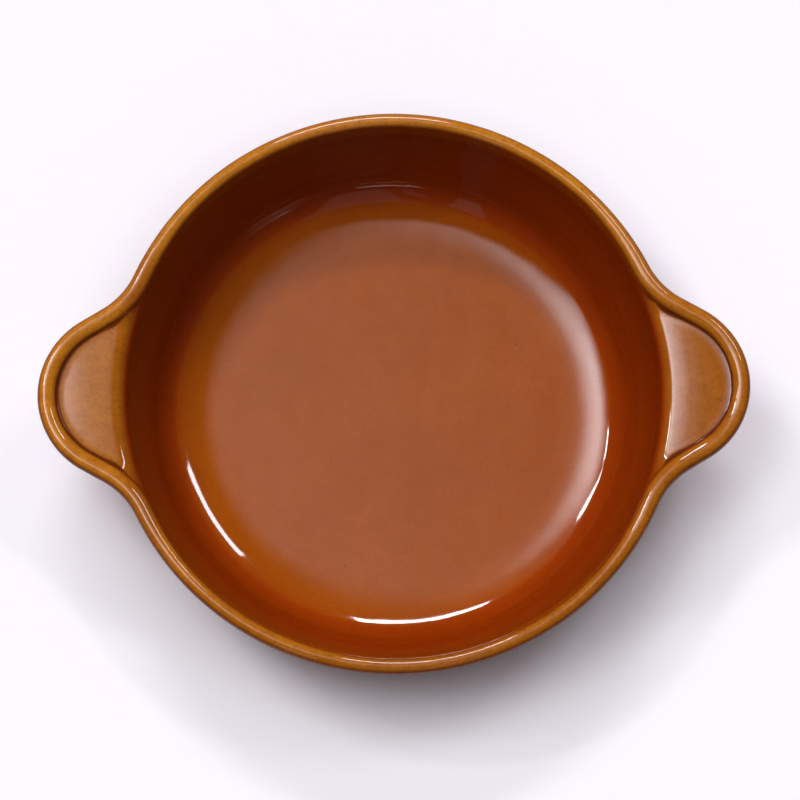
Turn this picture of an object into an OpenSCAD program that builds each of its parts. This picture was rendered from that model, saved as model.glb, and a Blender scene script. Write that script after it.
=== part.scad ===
// Round gratin dish with two thumb lugs, one piece of glazed stoneware.
// Origin at the centre of the foot ring's face, Z up, X along the two lugs.

/* [Bowl] */
// Outer diameter of the bowl over its rim bead
rim_d = 170; // [158:1:178]
// Overall height, foot face to rim top
height = 39.5; // [39.2:0.1:50]
// Inside depth, rim top to floor
depth = 34; // [28:0.1:34.3]
// Thickness of the leaning wall
wall_t = 5; // [4:0.1:6.5]
// Thickness of the floor over the foot recess
floor_t = 4.3; // [3.5:0.1:4.6]
// Lean of the wall from upright, degrees
wall_lean = 19; // [14:0.1:24]
// Distance that the floor's flat stops short of the wall's line
floor_edge = 15.2; // [12:0.1:18]
// Radius of the slow sweep at the floor's edge
sweep_r = 35; // [28:0.5:45]
// Radius of the cove between sweep and wall
cove_r = 10.8; // [8:0.1:14]
// Radius of the outside turn between base and wall
base_r = 16; // [12:0.5:20]

/* [Rim] */
// Radius of the rolled rim bead
bead_r = 2.4; // [2:0.1:2.9]
// Depth of the bead below its widest line
bead_drop = 3.6; // [3:0.1:4.4]

/* [Lugs] */
// Overall length over the two lug tips
span = 211; // [206:1:218]
// Outer radius of the lug's round end
lug_end_r = 25.9; // [24:0.1:28]
// Slope of the lug's flank against the long axis, degrees
flank_slope = 30.2; // [27:0.1:34]
// Radius of the hollow where the flank runs into the rim
root_r = 23.5; // [18:0.5:28]
// Depth below the rim's widest line where the lug's underside meets the wall
lug_root_depth = 13; // [10:0.5:18]

/* [Thumb well] */
// Depth of the well's crown below the bead top
well_depth = 1.8; // [1.4:0.1:2.6]
// Radius of the well's domed floor
crown_r = 80; // [60:5:120]
// Radius of the hollow between bead and well floor
well_fillet_r = 4; // [2.5:0.1:5]
// Radius of the shoulder where the well turns down into the bowl
shoulder_r = 5.5; // [4.5:0.1:6.5]
// Angle from the long axis at which the shoulder starts to grow out of the bead
shoulder_from = 45; // [36:1:60]
// Angle from the long axis at which the shoulder is full
shoulder_to = 20; // [14:1:24]

/* [Foot] */
// Distance of the foot ring's outer edge in from where the base turns up
foot_inset = 1.8; // [1:0.1:8]
// Width of the foot ring's face
foot_w = 3.5; // [2.5:0.1:6]
// Run-out of each foot flank where it meets the base
foot_flare = 0.9; // [0.4:0.1:1.2]

/* [Hidden] */

glaze = [0.62, 0.33, 0.12];
// Overlap by which the hollow is cut past the bead and the shoulder
bite = 0.1;
// Overlap by which the foot ring's flanks run on into the floor
foot_sink = 1;

// Steps along a quarter of the rim and along its section
n_end = 9;
n_flank = 2;
n_root = 7;
n_rim = 16;
n_crest = 4;
n_bead = 8;
n_under = 5;
n_wall = 2;
n_base = 4;
n_well = 3;
n_shoulder = 6;
n_sweep = 3;
n_cove = 7;
n_turn = 144;

// Angle of the bead's crest rows, and of its lower edge at the rim and its extra turn at a lug
crest_a = 60;
under_a = 50;
under_turn = 40;
// Reach of the underside's curve at its bead end and its wall end, as shares of its length
pull = [0.4, 0.35];

rim_r = rim_d / 2;
line_r = rim_r - bead_r;
rim_z = height - bead_r;
floor_z = height - depth;
base_z = floor_z - floor_t;

function unit(a) = [cos(a), sin(a)];
function smooth(x) = let(c = min(max(x, 0), 1)) c * c * (3 - 2 * c);
function mix(a, b, share) = a + share * (b - a);
function lift(p, z) = [p[0], p[1], z];

// The wall's inner line runs up into the bead as its tangent
skin_r = line_r - bead_r / cos(wall_lean);
function skin(z) = skin_r + (z - rim_z) * tan(wall_lean);
function wall_in(z) = skin(z) + bite;
function wall_out(z) = skin(z) + wall_t / cos(wall_lean);

// Centre radius of a turn of radius r from a level z into a wall line
function turn_centre(line_r, r) = line_r - r / cos(wall_lean);
base_c = [turn_centre(wall_out(base_z + base_r), base_r), base_z + base_r];

// Point on a line parallel to the wall, offset outwards, at a distance from a centre below or above
function on_parallel(centre, dist, offset, side) =
    let(
        t = tan(wall_lean),
        gap = skin(centre[1]) + offset - centre[0],
        z = (side * sqrt(dist * dist * (1 + t * t) - gap * gap) - gap * t) / (1 + t * t)
    )
    [centre[0] + gap + z * t, centre[1] + z];

// Floor's edge: a slow sweep off the flat, then the cove, tangent to sweep and wall
sweep_c = [skin(floor_z) - floor_edge, floor_z + sweep_r];
cove_c = on_parallel(sweep_c, sweep_r - cove_r, bite - cove_r / cos(wall_lean), -1);
join_a = atan2(cove_c[0] - sweep_c[0], sweep_c[1] - cove_c[1]);

// Well's floor: a wide crown midway out on the lug, with the shoulder tangent to crown and wall
tip_line_r = span / 2 - bead_r;
crown_c = [(line_r + tip_line_r) / 2, height - well_depth - crown_r];
shoulder_c = on_parallel(crown_c, crown_r - shoulder_r, shoulder_r / cos(wall_lean), 1);
crown_join_r = mix(crown_c[0], shoulder_c[0], crown_r / (crown_r - shoulder_r));
// The lofted form is solid inside this radius until the bowl is hollowed out
plug_r = shoulder_c[0] - shoulder_r * cos(wall_lean);

function on_circle(c, r, x) = c[1] + sqrt(max(r * r - pow(x - c[0], 2), 0));

// Plan outline of a lug: round end, straight flank, hollow root tangent to the rim.
// On a lug too short for a straight flank, the end turns straight into the root, at a steeper slope.
end_c = [span / 2 - lug_end_r, 0];
root_arm = rim_r + root_r;
end_arm = lug_end_r + root_r;
no_flank_slope = acos((end_c * end_c + end_arm * end_arm - root_arm * root_arm) / (2 * end_c[0] * end_arm)) - 90;
has_flank = flank_slope > no_flank_slope;
slope = has_flank ? flank_slope : no_flank_slope;
flank_dir = unit(180 - slope);
flank_out = unit(90 - slope);
flank_start = end_c + lug_end_r * flank_out;
root_line = flank_start + root_r * flank_out;
root_along = root_line * flank_dir;
root_reach = root_line * root_line - root_arm * root_arm;
flank_l = has_flank ? -root_along - sqrt(root_along * root_along - root_reach) : 0;
root_c = root_line + flank_l * flank_dir;
root_a = atan2(root_c[1], root_c[0]);

// Each station of the outline is a point on its outer edge and the inward normal
end_stations = [for (i = [0 : n_end - 1])
    let(a = i * (90 - slope) / n_end) [end_c + lug_end_r * unit(a), -unit(a)]];
flank_stations = [if (has_flank) for (i = [0 : n_flank - 1])
    [flank_start + i / n_flank * flank_l * flank_dir, -flank_out]];
root_stations = [for (i = [0 : n_root - 1])
    let(a = 270 - slope + i / n_root * (root_a - 90 + slope))
    [root_c + root_r * unit(a), unit(a)]];
rim_stations = [for (i = [0 : n_rim])
    let(a = root_a + i / n_rim * (90 - root_a)) [rim_r * unit(a), -unit(a)]];
quarter = concat(end_stations, flank_stations, root_stations, rim_stations);
last = len(quarter) - 1;
function flip(s) = [[-s[0][0], s[0][1]], [-s[1][0], s[1][1]]];
half = concat(quarter, [for (i = [last - 1 : -1 : 1]) flip(quarter[i])]);
stations = concat(half, [for (s = half) -s]);

// Height of the well's floor and shoulder at a radius, drawn out into the wall's line away from a lug
function well_height(r, share) =
    let(
        floor_h = r < crown_join_r ? on_circle(shoulder_c, shoulder_r, r) : on_circle(crown_c, crown_r, r),
        wall_h = min((r - skin_r) / tan(wall_lean), bead_r * sin(wall_lean)) + rim_z
    )
    mix(wall_h, floor_h, share);

// Height of the bead with its hollow foot over a level, at a distance inside the bead's line
function bead_height(d, fillet_r, level) =
    let(
        rise = max(level + fillet_r - rim_z, 0),
        reach = sqrt(pow(bead_r + fillet_r, 2) - rise * rise),
        turn = reach * bead_r / (bead_r + fillet_r)
    )
    d < turn ? rim_z + sqrt(bead_r * bead_r - d * d)
    : d < reach ? level + fillet_r - sqrt(pow(fillet_r, 2) - pow(reach - d, 2))
    : level;

// Height of the upper side at a point, by its distance from the bead's line and the shoulder's share
function top_height(p, d, share) = bead_height(d, share * well_fillet_r, well_height(norm(p), share));

// Distances of the upper rows from the bead's line and, on the other side, from the plug,
// with at least a gap between the two for a row on the crown
fillet_reach = sqrt(pow(bead_r + well_fillet_r, 2) - pow(bead_r - well_depth + well_fillet_r, 2));
crest_rows = [for (i = [1 : n_crest]) bead_r * sin(crest_a * i / n_crest)];
fillet_rows = [for (i = [1 : n_well]) mix(bead_r * sin(crest_a), fillet_reach, i / n_well)];
bead_rows = concat(crest_rows, fillet_rows);
shoulder_rows = [for (i = [0 : n_shoulder])
    shoulder_r * (cos(wall_lean) - sin(i / n_shoulder * (90 - wall_lean)))];
crown_gap = 1;
rows_span = fillet_reach + crown_gap + shoulder_rows[0];

// Rows over the top, from the bead's line in to the plug
function top_rows(c, n, knee, edge, share) =
    let(
        first = norm(knee - c),
        second = norm(edge - knee),
        way = first + second,
        scale = min(1, way / rows_span),
        crown_row = (way + (fillet_reach - shoulder_rows[0]) * scale) / 2
    )
    [for (t = concat(bead_rows * scale, [crown_row], [for (t = shoulder_rows) way - t * scale]))
        let(p = t < first ? c + t * n : mix(knee, edge, (t - first) / second))
        lift(p, top_height(p, (p - c) * n, share))];

// Rows round the outside of the bead, from its top to its lower edge
function bead_row(c, n, a) = lift(c - bead_r * cos(a) * n, rim_z + (a > 0 ? bead_r : bead_drop) * sin(a));

function bezier(p, t) =
    pow(1 - t, 3) * p[0] + 3 * pow(1 - t, 2) * t * p[1] + 3 * (1 - t) * t * t * p[2] + pow(t, 3) * p[3];

// Curve from the bead's lower edge along the lug's underside into the wall
function underside(from, dir, face, z) =
    let(
        to = lift(wall_out(z) * face, z),
        reach = norm(from - to),
        up = lift(sin(wall_lean) * face, cos(wall_lean))
    )
    [from, from + pull[0] * reach * dir, to + pull[1] * reach * up, to];

// Section of the outer form at one station, from the base up and over the rim to the plug
function section(s) =
    let(
        n = s[1],
        c = s[0] + bead_r * n,
        knee = c + min(fillet_reach, (norm(c) - plug_r) / 2) * n,
        face = knee / norm(knee),
        lug = smooth((norm(c) - line_r) / (4 * bead_r)),
        off_axis = atan2(abs(c[1]), abs(c[0])),
        share = smooth((shoulder_from - off_axis) / (shoulder_from - shoulder_to)),
        low_a = -under_a - under_turn * lug,
        low = bead_row(c, n, low_a),
        slide = lift(-bead_r * sin(low_a) * n, -bead_drop * cos(low_a)),
        join_z = rim_z - 2 * bead_drop - lug * (lug_root_depth - 2 * bead_drop),
        under = underside(low, slide / norm(slide), face, join_z),
        turn_z = base_c[1] - base_r * sin(wall_lean)
    )
    concat(
        [for (i = [0 : n_base])
            let(a = -90 + i / n_base * (90 - wall_lean))
            lift((base_c[0] + base_r * cos(a)) * face, base_c[1] + base_r * sin(a))],
        [for (i = [1 : n_wall])
            let(z = turn_z + i / n_wall * (join_z - turn_z)) lift(wall_out(z) * face, z)],
        [for (i = [n_under - 1 : -1 : 0]) bezier(under, i / n_under)],
        [for (i = [1 : n_bead]) bead_row(c, n, low_a + i / n_bead * (90 - low_a))],
        top_rows(c, n, knee, plug_r * face, share)
    );

// Outer form of bowl, bead, lugs and thumb wells, lofted round the rim and closed at both ends
module outer_form() {
    rings = [for (s = stations) section(s)];
    count = len(rings);
    rows = len(rings[0]);
    points = concat([for (r = rings) each r], [[0, 0, base_z], [0, 0, rim_z]]);
    faces = [for (k = [0 : count - 1])
        let(a = k * rows, b = (k + 1) % count * rows)
        each concat(
            [for (i = [0 : rows - 2]) each [[a + i, a + i + 1, b + i], [b + i, a + i + 1, b + i + 1]]],
            [[a, b, count * rows], [b + rows - 1, a + rows - 1, count * rows + 1]]
        )];
    polyhedron(points, faces, convexity = 6);
}

// Inside of the bowl: flat floor, sweep, cove and leaning wall, open at the top
module hollow() {
    top_z = height + bead_r;
    rotate_extrude($fn = n_turn)
        polygon(concat(
            [[0, top_z], [0, floor_z]],
            [for (i = [0 : n_sweep]) sweep_c + sweep_r * unit(i / n_sweep * join_a - 90)],
            [for (i = [1 : n_cove])
                cove_c + cove_r * unit(mix(join_a, 90 - wall_lean, i / n_cove) - 90)],
            [[wall_in(top_z), top_z]]
        ));
}

// Foot ring under the base, the face the dish stands on
module foot() {
    outer = base_c[0] - foot_inset;
    inner = outer - foot_w;
    top = base_z + foot_sink;
    run = foot_flare * top / base_z;
    rotate_extrude($fn = n_turn)
        polygon([[inner, 0], [outer, 0], [outer + run, top], [inner - run, top]]);
}

module dish() {
    color(glaze)
        union() {
            difference() {
                outer_form();
                hollow();
            }
            foot();
        }
}

dish();
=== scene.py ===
"""Round gratin dish in amber glazed stoneware, with two lugs and their thumb wells."""

import math

import bpy
import numpy as np
from mathutils import Matrix, Vector


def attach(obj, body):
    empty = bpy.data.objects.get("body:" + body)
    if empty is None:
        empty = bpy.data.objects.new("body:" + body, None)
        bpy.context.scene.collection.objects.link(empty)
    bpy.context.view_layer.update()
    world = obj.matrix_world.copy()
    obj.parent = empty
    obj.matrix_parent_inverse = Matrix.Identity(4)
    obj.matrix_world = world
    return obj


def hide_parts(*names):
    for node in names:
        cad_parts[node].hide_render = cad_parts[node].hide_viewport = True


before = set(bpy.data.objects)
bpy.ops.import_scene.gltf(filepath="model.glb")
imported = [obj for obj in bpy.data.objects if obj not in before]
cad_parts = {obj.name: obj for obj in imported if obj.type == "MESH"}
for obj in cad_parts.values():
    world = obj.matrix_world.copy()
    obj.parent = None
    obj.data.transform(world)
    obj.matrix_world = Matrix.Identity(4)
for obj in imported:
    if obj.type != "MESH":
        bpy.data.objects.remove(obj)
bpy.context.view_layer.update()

# Units
MM = 0.001
PER_M = 1000.0
TINY = 1e-9
QUARTER = math.pi / 2

# Sizes of the dish in millimetres, as the part is built
RIM_D = 170.0
HEIGHT = 39.5
DEPTH = 34.0
WALL_T = 5.0
FLOOR_T = 4.3
WALL_LEAN = math.radians(19)
FLOOR_EDGE = 15.2
SWEEP_R = 35.0
COVE_R = 10.8
BASE_R = 16.0
BEAD_R = 2.4
BEAD_DROP = 3.6
SPAN = 211.0
LUG_END_R = 25.9
FLANK_SLOPE = math.radians(30.2)
ROOT_R = 23.5
LUG_ROOT_DEPTH = 13.0
WELL_DEPTH = 1.8
SHOULDER_R = 5.5
SHOULDER_FROM = 45.0
SHOULDER_TO = 20.0
FOOT_INSET = 1.8
FOOT_W = 3.5
FOOT_FLARE = 0.9
FOOT_EDGE_R = 0.6

# Bead's inner side at the lugs: its half width, then the hollow before it and the crease between the two
BEAD_INNER = 3.2
HOLLOW_R = 10.0
HOLLOW_REACH = 5.8
HOLLOW_RUN = 3.8
CREASE = 0.9

# Crown of each thumb well: where its middle lies, and its curve towards the bowl and towards the bead
CROWN_EAST = (91.5, 43.0, 250.0)
CROWN_WEST = (90.0, 150.0, 110.0)

# Underside: distance in which a lug takes over from the rim, the bead's lower edge in degrees below level
# on the rim and on a lug, and how far the curve follows the bead and the wall, as shares of its span
LUG_ONSET = 4 * BEAD_R
LOWER_EDGE_RIM = 50.0
LOWER_EDGE_LUG = 90.0
BEAD_PULL = 0.4
WALL_PULL = 0.35

# Steps of the mesh along a quarter of the rim
END_STEPS = 34
FLANK_STEPS = 9
ROOT_STEPS = 22
RIM_STEPS = 85

# Rings of the mesh: radii under the base, distances inside the foot ring, radii on the floor, and the steps
# over each curve and straight
BASE_RINGS = (0.5, 12, 24, 36)
BASE_GAPS = (3, 1)
FLOOR_RINGS = (48, 40, 30, 20, 10, 3, 0.5)
FOOT_STEPS = 4
TURN_STEPS = 13
OUTER_STEPS = 8
UNDERSIDE_STEPS = 15
BEAD_STEPS = 15
INNER_STEPS = 10
COVE_STEPS = 13
SWEEP_STEPS = 7

# Rings over the top: where their way turns from square to the bead towards the bowl's middle, as a distance
# from the bead's line, then the distances of the rings near it as first, last and count, and the stretch by
# the bowl's edge where they draw close
KNEE = 4.4
NEAR_TRACKS = ((0.35, 1.55, 5), (1.8, 3.9, 12), (4.3, 6.2, 5))
MIDDLE_STEPS = 7
EDGE_REACH = 5.4
EDGE_STEPS = 17

# Points that are measured against the bead's line at a time, and rounds of smoothing of the skin's bend
LINE_BLOCK = 2000
CREST_SMOOTHING = 4

# Camera of the photograph, against the centre of the rim's widest line
CAMERA_TILT = math.radians(12.45)
CAMERA_TURN = math.radians(-5.45)
CAMERA_ROLL = math.radians(4.21)
CAMERA_DISTANCE = 1000.0
FOCAL_PIXELS = 3380.0
AIM_PIXELS = (-5.41, -10.64)
FRAME_PIXELS = 800
SENSOR = 36.0
CLIP_END = 10.0

# Room light in a plan of degrees from the zenith, east and north: windows, then dim frames in the wall on the
# near side, each with its middle, turn, length, width and strength, and the softness of their edges
PANES = (
    ((-2.7, 45.6), 0, 21, 3.3, 44),
    ((26.3, 26.6), 128, 16, 3.8, 20),
    ((-34.6, 20.0), 88, 5.5, 2.6, 44),
    ((-31.2, 28.0), 25, 11, 2.6, 44),
)
FRAMES = (
    ((10, -48), 99, 46, 21, 0.17),
    ((-24, -50), 67, 40, 9, 0.25),
    ((-7, -60), 95, 24, 4, 0.15),
)
PANE_SOFT = 0.5

# Strength of the rest of the room, its red and green against blue, and the backdrop that the camera sees
BLIND_LEVEL = 6.9
CEILING_LEVEL = 2.0
ROOM_LEVEL = 0.03
HORIZON_LEVEL = 0.15
ROOM_TINT = (0.97, 0.96)
BACKDROP = (0.93, 0.92, 0.94, 1)

# Table: half its side in metres, its paper's tone and the painted glow that the camera sees on it, fading
# towards the dish so that a painted shade stays round it, and its tone in reflections from far off
TABLE_HALF = 1.5
PAPER = (0.83, 0.815, 0.85, 1)
PAPER_PAINTED_GLOW = (0.34, 0.318, 0.345, 1)
PAPER_FAR = (0.03, 0.03, 0.03, 1)
BLACK = (0, 0, 0, 1)

# Glaze tones by its thickness, thin on crests and pooled in hollows, and the bare clay
GLAZE_THIN = (0.71, 0.258, 0.016, 1)
GLAZE_FLAT = (0.435, 0.095, 0.003, 1)
GLAZE_COVE = (0.42, 0.052, 0.001, 1)
GLAZE_FLANK = (0.31, 0.054, 0.001, 1)
GLAZE_STEEP = (0.23, 0.017, 0.0002, 1)
GLAZE_OUTER = (0.36, 0.078, 0.002, 1)
GLAZE_POOLED = (0.12, 0.012, 0.0003, 1)
CLAY = (0.55, 0.40, 0.27, 1)

# What the tone is multiplied by where the glaze drifts, mottles, shows its turning rings or its grain
DRIFT_SHADE = (0.88, 0.82, 0.75)
MOTTLE_SHADE = (0.8, 0.72, 0.6)
RINGS_SHADE = (0.78, 0.7, 0.6)
GRAIN_SHADE = (0.82, 0.74, 0.65)

# Gloss of the glaze, and the depth of its waves in metres
GLAZE_IOR = 1.55
GLAZE_ROUGHNESS = 0.045
RELIEF = 0.12 * MM

rim_r = RIM_D / 2
line_r = rim_r - BEAD_R
rim_z = HEIGHT - BEAD_R
well_z = HEIGHT - WELL_DEPTH
floor_z = HEIGHT - DEPTH
base_z = floor_z - FLOOR_T
lean_tan = math.tan(WALL_LEAN)
lean_cos = math.cos(WALL_LEAN)
lean_sin = math.sin(WALL_LEAN)
skin_r = line_r - BEAD_R / lean_cos


def unit(angle):
    """Direction of an angle, as one or many pairs."""
    return np.stack([np.cos(angle), np.sin(angle)], axis=-1)


def wall_in(z):
    """Radius of the wall's inside at a height."""
    return skin_r + (z - rim_z) * lean_tan


def wall_out(z):
    """Radius of the wall's outside at a height."""
    return wall_in(z) + WALL_T / lean_cos


def from_first(first, last, count):
    """Even steps from first up to but not including last."""
    return np.linspace(first, last, count, endpoint=False)


def after_first(first, last, count):
    """Even steps after first, up to last."""
    return np.linspace(first, last, count + 1)[1:]


def smooth(x):
    """Smooth step from 0 to 1 as x goes from 0 to 1."""
    c = np.clip(x, 0, 1)
    return c * c * (3 - 2 * c)


def on_circle(centre, radius, x):
    """Height of a circle's upper half over a place."""
    return centre[1] + np.sqrt(np.clip(radius**2 - (x - centre[0]) ** 2, 0, None))


def on_parallel(centre, dist, offset, side):
    """Point on a line parallel to the wall, at a distance from a centre, below it or above it."""
    gap = wall_in(centre[1]) + offset - centre[0]
    root = math.sqrt(dist**2 * (1 + lean_tan**2) - gap**2)
    z = (side * root - gap * lean_tan) / (1 + lean_tan**2)
    return centre[0] + gap + z * lean_tan, centre[1] + z


def shoulder_centre(crown):
    """Centre of the shoulder's circle, which meets the wall and the crown's inner curve."""
    middle, inner_r, _ = crown
    return on_parallel((middle, well_z - inner_r), inner_r - SHOULDER_R, SHOULDER_R / lean_cos, 1)


sweep_c = (wall_in(floor_z) - FLOOR_EDGE, floor_z + SWEEP_R)
cove_c = on_parallel(sweep_c, SWEEP_R - COVE_R, -COVE_R / lean_cos, -1)
join_a = math.atan2(cove_c[0] - sweep_c[0], sweep_c[1] - cove_c[1])
base_c = (wall_out(base_z + BASE_R) - BASE_R / lean_cos, base_z + BASE_R)
foot_out = base_c[0] - FOOT_INSET
foot_in = foot_out - FOOT_W
edge_r = min(shoulder_centre(CROWN_EAST)[0], shoulder_centre(CROWN_WEST)[0]) - SHOULDER_R * lean_cos


def lug_stations():
    """Points round the outer edge of rim and lugs, with their inward normals."""
    end_c = np.array([SPAN / 2 - LUG_END_R, 0])
    slope = FLANK_SLOPE
    along = np.array([-math.cos(slope), math.sin(slope)])
    out = np.array([math.sin(slope), math.cos(slope)])
    flank_start = end_c + LUG_END_R * out
    root_line = flank_start + ROOT_R * out
    reach = root_line @ along
    flank_l = -reach - math.sqrt(reach**2 - root_line @ root_line + (rim_r + ROOT_R) ** 2)
    root_c = root_line + flank_l * along
    root_a = math.atan2(root_c[1], root_c[0])
    end = from_first(0, QUARTER - slope, END_STEPS)
    flank = from_first(0, flank_l, FLANK_STEPS)[:, None]
    root = from_first(3 * QUARTER - slope, root_a + math.pi, ROOT_STEPS)
    rim = np.linspace(root_a, QUARTER, RIM_STEPS + 1)
    edge = np.concatenate([
        end_c + LUG_END_R * unit(end),
        flank_start + flank * along,
        root_c + ROOT_R * unit(root),
        rim_r * unit(rim),
    ])
    normal = np.concatenate([-unit(end), -out + 0 * flank, unit(root), -unit(rim)])
    mirror = np.array([-1, 1])
    edge = np.concatenate([edge, (edge * mirror)[-2:0:-1]])
    normal = np.concatenate([normal, (normal * mirror)[-2:0:-1]])
    return np.concatenate([edge, -edge]), np.concatenate([normal, -normal])


def well_height(radius, share, crown):
    """Height of the well's floor and shoulder, drawn out into the wall's line away from a lug."""
    middle, inner_r, outer_r = crown
    shoulder_c = shoulder_centre(crown)
    join_r = middle + inner_r / (inner_r - SHOULDER_R) * (shoulder_c[0] - middle)
    inner = on_circle((middle, well_z - inner_r), inner_r, radius)
    outer = well_z - (radius - middle) ** 2 / (2 * outer_r)
    floor = np.where(radius < middle, inner, outer)
    floor = np.where(radius < join_r, on_circle(shoulder_c, SHOULDER_R, radius), floor)
    line = rim_z + (radius - skin_r) / lean_tan
    floor = np.where(radius < shoulder_c[0] - SHOULDER_R * lean_cos, line, floor)
    wall = np.minimum(line, rim_z + BEAD_R * lean_sin)
    return wall + share * (floor - wall)


def bead_height(dist, share, level):
    """Height of the bead over a level that rises a little towards it, with a soft crease between them."""
    width = BEAD_R + (BEAD_INNER - BEAD_R) * share
    top = rim_z + BEAD_R * np.sqrt(np.clip(1 - (dist / width) ** 2, 0, None))
    top = np.where(dist < width, top, -1)
    level = level + np.clip(HOLLOW_REACH * share - dist, 0, HOLLOW_RUN) ** 2 / (2 * HOLLOW_R)
    crease = CREASE * share + TINY
    meeting = np.clip(crease - np.abs(top - level), 0, None)
    return np.maximum(top, level) + meeting**2 / (4 * crease)


def distance_to_line(points, line):
    """Least distance from each point to a closed line of many short pieces."""
    piece = np.roll(line, -1, axis=0) - line
    length2 = (piece**2).sum(-1)
    best = np.full(len(points), np.inf)
    for first in range(0, len(points), LINE_BLOCK):
        block = points[first:first + LINE_BLOCK, None] - line
        share = np.clip((block * piece).sum(-1) / length2, 0, 1)
        gap = block - share[..., None] * piece
        best[first:first + LINE_BLOCK] = np.sqrt((gap**2).sum(-1).min(-1))
    return best


def lifted(plan, z):
    """Points in plan, raised to a height."""
    return np.concatenate([plan, np.broadcast_to(z, plan.shape[:-1])[..., None]], axis=-1)


def base_rings(face):
    """Recess of the base, foot ring and the turn up into the wall."""
    profile = [(radius, base_z) for radius in BASE_RINGS]
    profile += [(foot_in - FOOT_FLARE - gap, base_z) for gap in BASE_GAPS]
    for t in np.linspace(0, 1, FOOT_STEPS + 1):
        profile.append((foot_in - FOOT_FLARE * (1 - t), base_z + (FOOT_EDGE_R - base_z) * smooth(t)))
    for turn in after_first(0, QUARTER, FOOT_STEPS):
        swing = FOOT_EDGE_R * unit(turn)
        profile.append((foot_in + FOOT_EDGE_R - swing[0], FOOT_EDGE_R - swing[1]))
    profile.append((foot_out - FOOT_W / 2, 0))
    for turn in from_first(QUARTER, 0, FOOT_STEPS):
        swing = FOOT_EDGE_R * unit(turn)
        profile.append((foot_out - FOOT_EDGE_R + swing[0], FOOT_EDGE_R - swing[1]))
    for t in np.linspace(0, 1, FOOT_STEPS + 1):
        profile.append((foot_out + FOOT_FLARE * t, FOOT_EDGE_R + (base_z - FOOT_EDGE_R) * smooth(t)))
    for turn in after_first(-QUARTER, -WALL_LEAN, TURN_STEPS):
        swing = BASE_R * unit(turn)
        profile.append((base_c[0] + swing[0], base_c[1] + swing[1]))
    return [lifted(radius * face, z) for radius, z in profile]


def outer_rings(bead, normal, face):
    """Outer wall, underside of rim and lugs, and the bead from its lower edge to its top."""
    lug = smooth((np.linalg.norm(bead, axis=-1) - line_r) / LUG_ONSET)
    join_z = rim_z - 2 * BEAD_DROP - lug * (LUG_ROOT_DEPTH - 2 * BEAD_DROP)
    turn_z = base_c[1] - BASE_R * lean_sin
    rings = []
    for t in after_first(0, 1, OUTER_STEPS):
        z = turn_z + t * (join_z - turn_z)
        rings.append(lifted(wall_out(z)[:, None] * face, z))

    low = -np.radians(LOWER_EDGE_RIM + (LOWER_EDGE_LUG - LOWER_EDGE_RIM) * lug)
    start = lifted(bead - BEAD_R * np.cos(low)[:, None] * normal, rim_z + BEAD_DROP * np.sin(low))
    slide = lifted(-BEAD_R * np.sin(low)[:, None] * normal, -BEAD_DROP * np.cos(low))
    slide /= np.linalg.norm(slide, axis=-1)[:, None]
    stop = lifted(wall_out(join_z)[:, None] * face, join_z)
    span = np.linalg.norm(start - stop, axis=-1)[:, None]
    up = lifted(lean_sin * face, np.full(len(face), lean_cos))
    for t in after_first(1, 0, UNDERSIDE_STEPS):
        rings.append(
            (1 - t) ** 3 * start
            + 3 * (1 - t) ** 2 * t * (start + BEAD_PULL * span * slide)
            + 3 * (1 - t) * t**2 * (stop + WALL_PULL * span * up)
            + t**3 * stop
        )

    for t in after_first(0, 1, BEAD_STEPS):
        turn = low + t * (QUARTER - low)
        tall = np.where(turn > 0, BEAD_R, BEAD_DROP)
        rings.append(lifted(bead - BEAD_R * np.cos(turn)[:, None] * normal, rim_z + tall * np.sin(turn)))
    return rings


def track_distances(total):
    """Distances from the bead's line of the rings over the top, squeezed where the way is short."""
    near = np.concatenate([np.linspace(*track) for track in NEAR_TRACKS])
    edge = EDGE_REACH * (1 - np.sin(np.linspace(0, QUARTER, EDGE_STEPS + 1)))
    scale = np.minimum(1, total / (near[-1] + EDGE_REACH + 1))
    middle = total - (near[-1] + EDGE_REACH) * scale
    tracks = [dist * scale for dist in near]
    tracks += [near[-1] * scale + t * middle for t in after_first(0, 1, MIDDLE_STEPS)[:-1]]
    return tracks + [total - dist * scale for dist in edge]


def top_rings(bead, normal, knee, face):
    """Over the top: bead, hollow, the well's crown and the shoulder, to the top of the inner wall."""
    off_axis = np.degrees(np.arctan2(np.abs(bead[:, 1]), np.abs(bead[:, 0])))
    share = smooth((SHOULDER_FROM - off_axis) / (SHOULDER_FROM - SHOULDER_TO))
    inner = edge_r * face
    first = np.linalg.norm(knee - bead, axis=-1)
    second = np.linalg.norm(inner - knee, axis=-1)
    rings = []
    for track in track_distances(first + second):
        past_knee = np.clip((track - first) / second, 0, None)[:, None]
        plan = bead + np.minimum(track, first)[:, None] * normal + past_knee * (inner - knee)
        radius = np.linalg.norm(plan, axis=-1)
        east = well_height(radius, share, CROWN_EAST)
        west = well_height(radius, share, CROWN_WEST)
        level = np.where(plan[:, 0] > 0, east, west)
        rings.append(lifted(plan, bead_height(distance_to_line(plan, bead), share, level)))
    return rings


def bowl_rings(top_z, face):
    """Inside of the bowl: wall, cove, sweep and floor."""
    foot_z = cove_c[1] - COVE_R * lean_sin
    rings = []
    for t in after_first(0, 1, INNER_STEPS)[:-1]:
        z = top_z + t * (foot_z - top_z)
        rings.append(lifted(wall_in(z)[:, None] * face, z))
    profile = []
    for turn in np.linspace(QUARTER - WALL_LEAN, join_a, COVE_STEPS + 1):
        profile.append((cove_c[0] + COVE_R * math.sin(turn), cove_c[1] - COVE_R * math.cos(turn)))
    for turn in after_first(join_a, 0, SWEEP_STEPS):
        profile.append((sweep_c[0] + SWEEP_R * math.sin(turn), sweep_c[1] - SWEEP_R * math.cos(turn)))
    profile += [(radius, floor_z) for radius in FLOOR_RINGS]
    return rings + [lifted(radius * face, z) for radius, z in profile]


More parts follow.
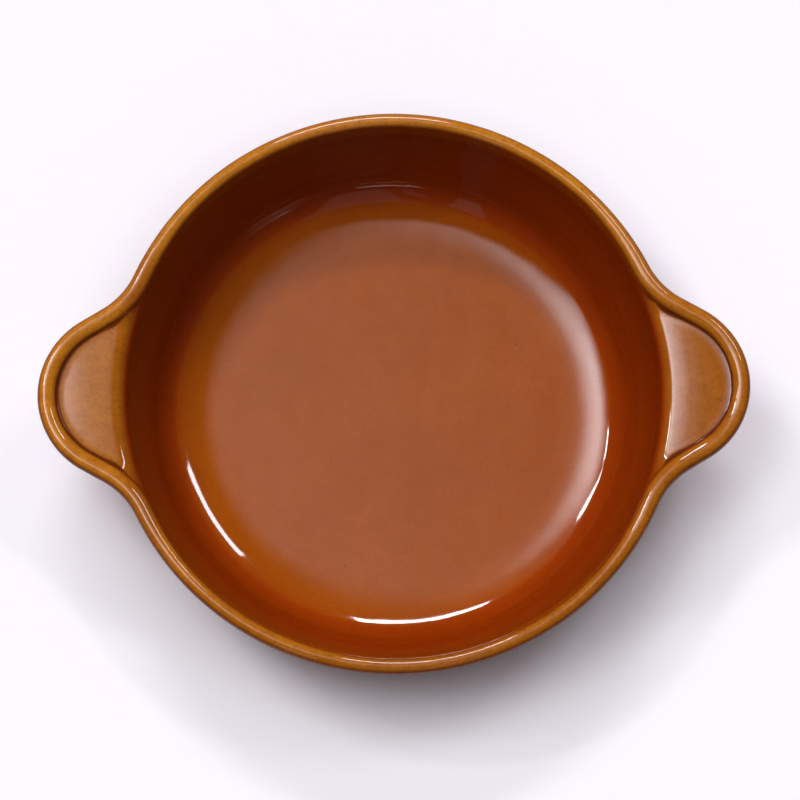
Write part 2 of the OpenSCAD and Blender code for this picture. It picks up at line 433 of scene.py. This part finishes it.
def dish_rings():
    """Rings of points over the whole skin, from the middle of the base up and over to the floor."""
    edge, normal = lug_stations()
    bead = edge + BEAD_R * normal
    reach = np.minimum(KNEE, (np.linalg.norm(bead, axis=-1) - edge_r) / 2)
    knee = bead + reach[:, None] * normal
    face = knee / np.linalg.norm(knee, axis=-1)[:, None]
    rings = base_rings(face) + outer_rings(bead, normal, face) + top_rings(bead, normal, knee, face)
    return np.stack(rings + bowl_rings(rings[-1][:, 2], face))


def grid_faces(count, width):
    """Quads over closed rings, with a fan to a centre point at each end."""
    row = np.arange(count - 1)[:, None] * width
    col = np.arange(width)
    nxt = (col + 1) % width
    quads = np.stack([row + col, row + nxt, row + nxt + width, row + col + width], axis=-1).reshape(-1, 4)
    last = (count - 1) * width
    base_fan = [(count * width, int(b), int(a)) for a, b in zip(col, nxt)]
    floor_fan = [(count * width + 1, last + int(a), last + int(b)) for a, b in zip(col, nxt)]
    return quads.tolist() + base_fan + floor_fan


def curving(before, here, after):
    """Second difference over uneven steps, as a vector in 1/mm."""
    back = np.linalg.norm(here - before, axis=-1)[..., None] + TINY
    ahead = np.linalg.norm(after - here, axis=-1)[..., None] + TINY
    return 2 * ((after - here) / ahead - (here - before) / back) / (back + ahead)


def bend(points):
    """Sum of the two curvatures at each point of the grid, in 1/mm: over 0 on crests, under 0 in hollows."""
    along = np.roll(points, -1, axis=1) - np.roll(points, 1, axis=1)
    across = np.gradient(points, axis=0)
    normal = np.cross(along, across)
    normal /= np.linalg.norm(normal, axis=-1)[..., None] + TINY
    round_rim = curving(np.roll(points, 1, axis=1), points, np.roll(points, -1, axis=1))
    padded = np.concatenate([points[:1], points, points[-1:]])
    over_rim = curving(padded[:-2], points, padded[2:])
    over_rim[0] = over_rim[-1] = 0
    return -((round_rim + over_rim) * normal).sum(-1)


def smoothed(grid):
    """Grid of values, each drawn a little towards its neighbours round the rim and over it."""
    for _ in range(CREST_SMOOTHING):
        grid = (np.roll(grid, 1, axis=1) + 2 * grid + np.roll(grid, -1, axis=1)) / 4
        padded = np.pad(grid, ((1, 1), (0, 0)), mode="edge")
        grid = (padded[:-2] + 2 * grid + padded[2:]) / 4
    return grid


def dish_mesh():
    """Mesh of the dish in metres, with the bend of its skin as the attribute crest."""
    points = dish_rings()
    count, width = points.shape[:2]
    crest = smoothed(bend(points))
    verts = np.concatenate([points.reshape(-1, 3), [[0, 0, base_z], [0, 0, floor_z]]])
    mesh = bpy.data.meshes.new("dish_body")
    mesh.from_pydata((verts * MM).tolist(), [], grid_faces(count, width))
    mesh.validate()
    mesh.shade_smooth()
    attribute = mesh.attributes.new("crest", "FLOAT", "POINT")
    attribute.data.foreach_set("value", np.concatenate([crest.ravel(), [0, 0]]).astype(np.float32))
    return mesh


class Value:
    """A number, colour or vector in a node tree, so that shader maths reads as plain sums and products."""

    def __init__(self, tree, socket):
        self.tree = tree
        self.socket = socket

    def output(self, name):
        return Value(self.tree, self.socket.node.outputs[name])

    def math(self, operation, first, second):
        return node(self.tree, "Math", {"operation": operation}, {0: first, 1: second})

    def __add__(self, other):
        return self.math("ADD", self, other)

    def __sub__(self, other):
        return self.math("SUBTRACT", self, other)

    def __rsub__(self, other):
        return self.math("SUBTRACT", other, self)

    def __mul__(self, other):
        return self.math("MULTIPLY", self, other)

    def __truediv__(self, other):
        return self.math("DIVIDE", self, other)

    def __abs__(self):
        return self.math("ABSOLUTE", self, 0)

    __radd__ = __add__
    __rmul__ = __mul__

    def least(self, other):
        return self.math("MINIMUM", self, other)

    def most(self, other):
        return self.math("MAXIMUM", self, other)

    def over(self, low, high):
        """Smooth step from 0 at low to 1 at high."""
        sockets = {"Value": self, "From Min": low, "From Max": high}
        return node(self.tree, "MapRange", {"interpolation_type": "SMOOTHSTEP"}, sockets)

    def length(self):
        """Length of a vector."""
        return node(self.tree, "VectorMath", {"operation": "LENGTH"}, {0: self}).output("Value")

    def along(self, axis):
        """Length of a vector along an axis."""
        product = node(self.tree, "VectorMath", {"operation": "DOT_PRODUCT"}, {0: self, 1: axis})
        return product.output("Value")

    def scaled(self, factors):
        """Vector or colour times another, part by part."""
        return node(self.tree, "VectorMath", {"operation": "MULTIPLY"}, {0: self, 1: factors})

    def to(self, other, share):
        """Colour that turns into another as the share goes from 0 to 1."""
        return blend(self.tree, self, other, share)

    def shaded(self, shade, share):
        """Colour that is multiplied by a shade as the share goes from 0 to 1."""
        return self.to(self.scaled(shade), share)


def node(tree, kind, settings, sockets):
    """Adds a node with its settings, then its sockets' values or links, and gives its first output."""
    made = tree.nodes.new("ShaderNode" + kind)
    for name, setting in settings.items():
        setattr(made, name, setting)
    for name, value in sockets.items():
        if isinstance(value, Value):
            tree.links.new(value.socket, made.inputs[name])
        else:
            made.inputs[name].default_value = value
    return Value(tree, made.outputs[0])


def blend(tree, first, second, share):
    """Colour between two others, the second as the share reaches 1."""
    return node(tree, "Mix", {"data_type": "RGBA"}, {0: share, 6: first, 7: second}).output(2)


def noise(tree, place, scale, detail):
    return node(tree, "TexNoise", {}, {"Vector": place, "Scale": scale, "Detail": detail})


def material(name, roughness, ior):
    """New material with its one shader, and that shader's constant sockets set."""
    made = bpy.data.materials.new(name)
    made.use_nodes = True
    shader = made.node_tree.nodes["Principled BSDF"]
    shader.inputs["Roughness"].default_value = roughness
    shader.inputs["IOR"].default_value = ior
    return made, made.node_tree, shader


def feed(tree, shader, name, value):
    tree.links.new(value.socket, shader.inputs[name])


def amber_glaze():
    """Glossy amber glaze over clay: light where it runs thin, dark where it pools, bare on the foot."""
    made, tree, shader = material("amber_glaze", GLAZE_ROUGHNESS, GLAZE_IOR)
    place = node(tree, "TexCoord", {}, {}).output("Object")
    crest = node(tree, "Attribute", {"attribute_name": "crest"}, {}).output("Fac")
    normal = node(tree, "NewGeometry", {}, {}).output("Normal")
    upright = normal.along((0, 0, 1))
    flatness = abs(upright)
    outward = normal.along(place.scaled((1, 1, 0))).over(0, 0.02)
    height = place.along((0, 0, PER_M))
    radius = place.scaled((PER_M, PER_M, 0)).length()
    on_rim = height.over(34.4, 37.2)

    # Slow drift of tone, mottling of a few millimetres, a fine grain and the rings that turning leaves
    drift = noise(tree, place, 28, 2).over(0.3, 0.7)
    mottle = noise(tree, place, 240, 3).over(0.35, 0.68)
    grain = noise(tree, place, 900, 3)
    turned = node(tree, "CombineXYZ", {}, {0: radius * MM, 1: height * MM, 2: drift * 0.0015})
    rings = noise(tree, turned, 300, 2)

    # Bowl: deeper as the cove turns up into the wall, and deeper still up the wall
    tone = blend(tree, GLAZE_FLAT, GLAZE_COVE, 1 - flatness.over(0.88, 1.0))
    wall_tone = blend(tree, GLAZE_COVE, GLAZE_STEEP, height.over(12, 34) * 0.5 + 0.5)
    tone = tone.to(wall_tone, 1 - flatness.over(0.3, 0.92))
    tone = tone.to(GLAZE_OUTER, outward)

    # Rim and lugs: thin on top, lighter towards the far left and darker towards the near right, browner down
    # the bead's flanks and on the inner lip of the left lug, fading into the wall below the edge
    far_left = place.along((-550, 950, 0)).over(-105, 55) * 0.52 + 0.48
    rim_lightness = upright.over(0.45, 0.97) * far_left * (0.65 + crest.over(0.05, 0.3) * 0.4)
    rim_tone = blend(tree, GLAZE_FLANK, GLAZE_THIN, rim_lightness)
    lip = (1 - radius.over(82.5, 86)) * place.along((-PER_M, 0, 0)).over(66, 74)
    rim_tone = rim_tone.to(GLAZE_FLANK, lip * 0.45)
    tone = tone.to(rim_tone, on_rim)

    # Pools in the hollows, then the uneven tone of the fired glaze, stronger on the rim than in the bowl
    tone = tone.to(GLAZE_POOLED, (0 - crest).over(0.04, 0.25) * 0.85)
    tone = tone.shaded(DRIFT_SHADE, drift * 0.55)
    tone = tone.shaded(MOTTLE_SHADE, mottle * (0.2 + on_rim * 0.35))
    tone = tone.shaded(RINGS_SHADE, rings.over(0.45, 0.65) * (1 - flatness.over(0.6, 0.99)) * 0.55)
    tone = tone.shaded(GRAIN_SHADE, grain.over(0.45, 0.7) * (0.4 + on_rim * 0.4))

    # Scattered iron specks
    cell = node(tree, "TexVoronoi", {}, {"Vector": place, "Scale": 260})
    rare = cell.output("Color").along((1, 0, 0)).over(0.9, 0.92)
    speck = (1 - cell.output("Distance").over(0.03, 0.12)) * rare
    tone = tone.to(GLAZE_POOLED, speck * 0.55)

    # Bare clay on the foot ring's face
    bare = (1 - height.over(0.15, 0.45)) * radius.over(foot_in - 1.5, foot_in - 1)
    tone = tone.to(CLAY, bare)
    feed(tree, shader, "Base Color", tone)
    feed(tree, shader, "Roughness", bare * 0.7 + GLAZE_ROUGHNESS + drift * 0.02)

    # Slow waves of the run glaze, turning rings and a faint orange peel in its surface
    waves = noise(tree, place, 75, 1) + rings * 0.13 + grain * 0.02
    bump = node(tree, "Bump", {}, {"Strength": 1.0, "Distance": RELIEF, "Height": waves})
    feed(tree, shader, "Normal", bump)
    return made


def table_paint():
    """Matt white sheet with a painted glow for the camera that fades towards the dish, leaving a painted
    shade round it, and dim in reflections from far off.
    """
    made, tree, shader = material("table_white", 0.9, 1.3)
    place = node(tree, "TexCoord", {}, {}).output("Object")
    radius = place.scaled((PER_M, PER_M, 0)).length()
    ray = node(tree, "LightPath", {}, {})
    far = radius.over(140, 260) * ray.output("Is Glossy Ray")
    feed(tree, shader, "Base Color", blend(tree, PAPER, PAPER_FAR, far))
    # Painted glow seen only by the camera, faded out near the dish so that the sheet there keeps a painted
    # shade
    painted_glow = radius.over(68, 110) * ray.output("Is Camera Ray")
    feed(tree, shader, "Emission Color", blend(tree, BLACK, PAPER_PAINTED_GLOW, painted_glow))
    shader.inputs["Emission Strength"].default_value = 1.0
    return made


def patch(east, north, middle, turn, length, width):
    """Share of a bright oblong in the room's plan of light, all in degrees."""
    cos, sin = math.cos(math.radians(turn)), math.sin(math.radians(turn))
    along = abs((east - middle[0]) * cos + (north - middle[1]) * sin)
    across = abs((north - middle[1]) * cos - (east - middle[0]) * sin)
    in_length = 1 - along.over(length / 2 - PANE_SOFT, length / 2 + PANE_SOFT)
    return in_length * (1 - across.over(width / 2 - PANE_SOFT, width / 2 + PANE_SOFT))


def studio():
    """Room light in a plan round the zenith: a blind to the left, a pale ceiling, windows and frames."""
    world = bpy.data.worlds.new("studio")
    world.use_nodes = True
    tree = world.node_tree
    sky = node(tree, "TexCoord", {}, {}).output("Generated")
    up = sky.along((0, 0, 1))
    zenith = up.math("ARCCOSINE", up.most(-1).least(1), 0) * math.degrees(1)
    flat = sky.scaled((1, 1, 0)).length().most(0.001)
    east = sky.along((1, 0, 0)) * zenith / flat
    north = sky.along((0, 1, 0)) * zenith / flat

    blind = east.over(-33, -24) * (1 - east.over(-24, -3)) * north.over(-8, 9) * (1 - north.over(17, 33))
    ceiling = (1 - east.over(-13, 14)) * east.over(-36, -28) * north.over(-9, -3) * (1 - north.over(-5, 48))
    light = ROOM_LEVEL + blind * BLIND_LEVEL + ceiling * CEILING_LEVEL
    for middle, turn, length, width, strength in PANES + FRAMES:
        light = light + patch(east, north, middle, turn, length, width) * strength
    light = light + zenith.over(80, 90) * HORIZON_LEVEL
    tint = node(tree, "CombineColor", {}, {0: light * ROOM_TINT[0], 1: light * ROOM_TINT[1], 2: light})
    camera_ray = node(tree, "LightPath", {}, {}).output("Is Camera Ray")
    tree.links.new(tint.to(BACKDROP, camera_ray).socket, tree.nodes["Background"].inputs["Color"])
    bpy.context.scene.world = world


def camera():
    """The photograph's camera, turned and placed from the angles and pixels above."""
    elevation = QUARTER - CAMERA_TILT
    back = Vector((
        math.sin(CAMERA_TURN) * math.cos(elevation),
        -math.cos(CAMERA_TURN) * math.cos(elevation),
        math.sin(elevation),
    ))
    level = Vector((math.cos(CAMERA_TURN), math.sin(CAMERA_TURN), 0))
    rise = back.cross(level)
    right = level * math.cos(CAMERA_ROLL) + rise * math.sin(CAMERA_ROLL)
    up = rise * math.cos(CAMERA_ROLL) - level * math.sin(CAMERA_ROLL)
    per_pixel = CAMERA_DISTANCE / FOCAL_PIXELS
    place = back * CAMERA_DISTANCE - right * AIM_PIXELS[0] * per_pixel + up * AIM_PIXELS[1] * per_pixel
    place.z += rim_z
    data = bpy.data.cameras.new("photo_camera")
    data.sensor_width = SENSOR
    data.lens = FOCAL_PIXELS / FRAME_PIXELS * SENSOR
    data.clip_end = CLIP_END
    obj = bpy.data.objects.new("photo_camera", data)
    turn = Matrix((right, up, back)).transposed().to_4x4()
    obj.matrix_world = Matrix.Translation(place * MM) @ turn
    bpy.context.scene.collection.objects.link(obj)
    bpy.context.scene.camera = obj


def add_object(name, mesh, finish):
    """New object in the scene, of a mesh with one material."""
    made = bpy.data.objects.new(name, mesh)
    bpy.context.scene.collection.objects.link(made)
    mesh.materials.append(finish)
    return made


def table_mesh():
    """Square sheet at the height of the dish's foot."""
    mesh = bpy.data.meshes.new("table_top")
    corners = [(x * TABLE_HALF, y * TABLE_HALF, 0) for x, y in ((-1, -1), (1, -1), (1, 1), (-1, 1))]
    mesh.from_pydata(corners, [], [(0, 1, 2, 3)])
    return mesh


dish = add_object("dish_body", dish_mesh(), amber_glaze())
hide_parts("dish")
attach(dish, "root")

table = add_object("table_top", table_mesh(), table_paint())

studio()
camera()
bpy.context.scene.view_settings.view_transform = "Standard"
